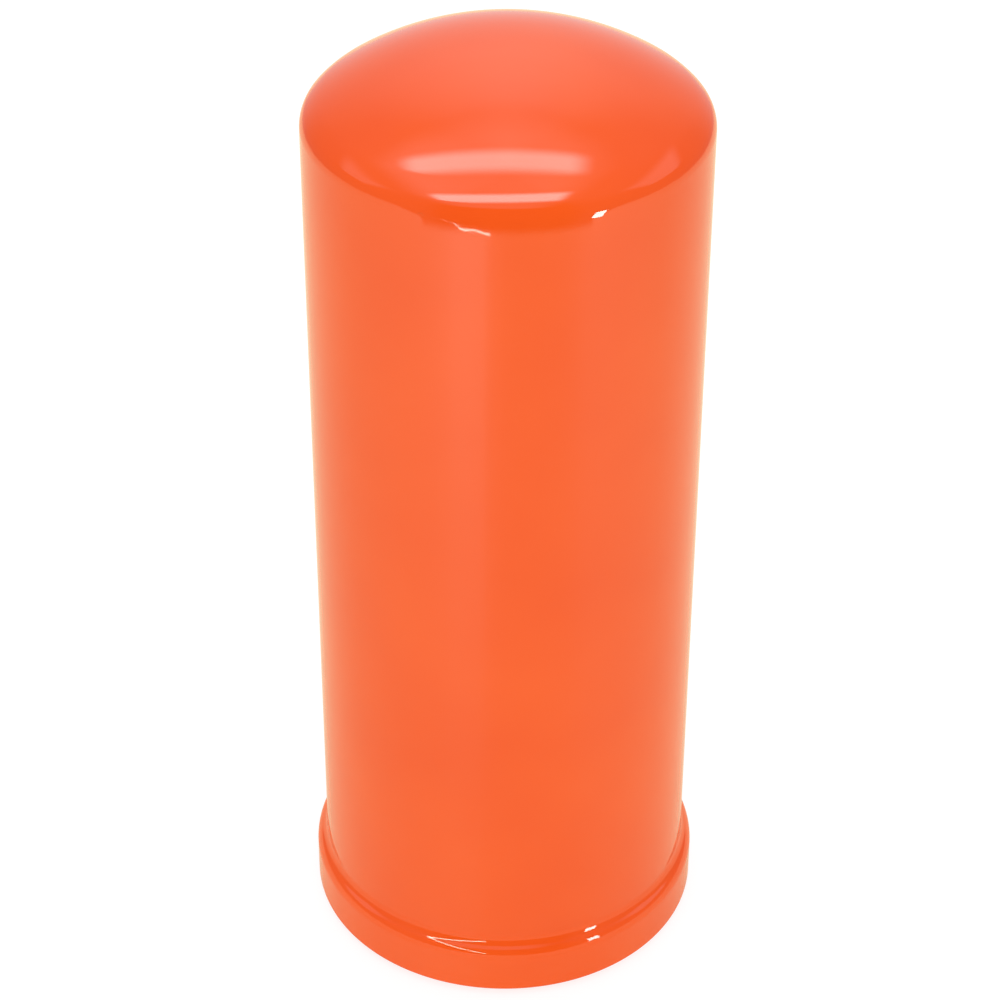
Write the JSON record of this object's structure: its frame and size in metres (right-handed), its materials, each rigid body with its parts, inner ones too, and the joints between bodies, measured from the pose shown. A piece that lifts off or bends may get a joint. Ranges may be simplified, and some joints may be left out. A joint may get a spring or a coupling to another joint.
{
  "type": "oil filter",
  "caption": "Tall spin-on canister filter with a domed end, a stepped mouth band, a threaded hub, inlet ports, drain and bypass valves and a sprung pleated element.",
  "frame": {"origin": "middle of the gasket's sealing face, on the filter's axis", "axes": "+Z along the filter's axis, from the mouth to the domed end; X and Y lie in the sealing face, with +X through the first inlet port"},
  "size_m": [0.0982, 0.0982, 0.2407],
  "materials": {
    "orange_enamel": "gloss",
    "tinplate": "satin",
    "zinc_plated_steel": "satin",
    "spring_steel": "satin",
    "nitrile_rubber": "matt",
    "seam_compound": "matt",
    "filter_paper": "matt",
    "glue": "satin"
  },
  "bodies": {
    "canister": {"can_shell": "orange_enamel", "seaming_lid": "tinplate", "sealing_gasket": "nitrile_rubber", "seam_compound": "seam_compound", "tapping_plate": "zinc_plated_steel", "drain_valve_collar": "nitrile_rubber", "element_spring": "spring_steel"},
    "drain_valve": {"drain_valve_lip": "nitrile_rubber"},
    "element": {"hub_grommet": "nitrile_rubber", "lower_end_cap": "tinplate", "upper_end_cap": "tinplate", "lower_glue_bed": "glue", "upper_glue_bed": "glue", "centre_tube": "tinplate", "pleated_media": "filter_paper", "media_seam_clip": "tinplate", "lower_pleat_band": "glue", "upper_pleat_band": "glue", "bypass_seat": "zinc_plated_steel", "bypass_cage": "zinc_plated_steel", "bypass_spring": "spring_steel", "spring_cup": "tinplate"},
    "bypass_valve": {"bypass_valve_plate": "zinc_plated_steel", "bypass_seal": "nitrile_rubber", "bypass_stem_clip": "spring_steel"}
  },
  "joints": [
    {"name": "element_float", "type": "slide", "parent": "canister", "child": "element", "axis": [0, 0, 1], "range_m": [0, 0.003], "stiffness_N_per_m": 1630, "springref_m": -0.015, "deforming": ["element_spring"]},
    {"name": "bypass_open", "type": "slide", "parent": "element", "child": "bypass_valve", "axis": [0, 0, -1], "range_m": [0, 0.005], "stiffness_N_per_m": 1360, "springref_m": -0.012, "deforming": ["bypass_spring"]},
    {"name": "drain_valve_lift", "type": "slide", "parent": "canister", "child": "drain_valve", "axis": [0, 0, 1], "range_m": [0, 0.0015], "stiffness_N_per_m": 250, "springref_m": -0.001}
  ]
}
